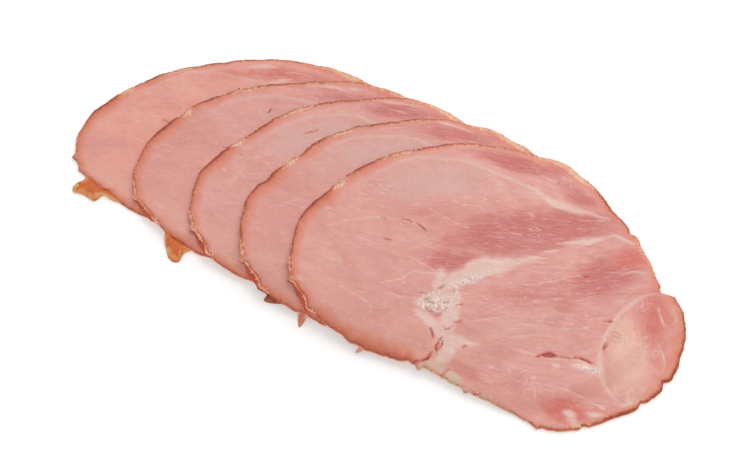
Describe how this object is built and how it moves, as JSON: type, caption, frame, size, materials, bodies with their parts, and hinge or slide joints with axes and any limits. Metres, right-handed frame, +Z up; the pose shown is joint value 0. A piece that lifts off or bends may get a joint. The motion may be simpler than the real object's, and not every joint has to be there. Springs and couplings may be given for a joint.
{
  "type": "shingled slices of smoked shoulder ham",
  "caption": "Thin oval slices of smoked shoulder ham, shingled in a row so that each lies over the next one's right part, with a browned crust round the rims.",
  "frame": {"origin": "on the surface that the slices lie on, under the middle of the row's bounding box", "axes": "+X along the row, from the lowest slice to the top one; +Y towards the rounded back of the slices, away from the viewer; +Z up"},
  "size_m": [0.3, 0.138, 0.0122],
  "materials": {
    "cut_meat": "moist cut ham, pink with pale fat seams",
    "smoked_crust": "browned smoked crust",
    "rind_jelly": "translucent amber rind and set juices"
  },
  "bodies": {
    "root": {"slice_1": "cut_meat", "slice_2": "cut_meat", "slice_3": "cut_meat", "slice_4": "cut_meat", "slice_5": "cut_meat"}
  },
  "joints": []
}
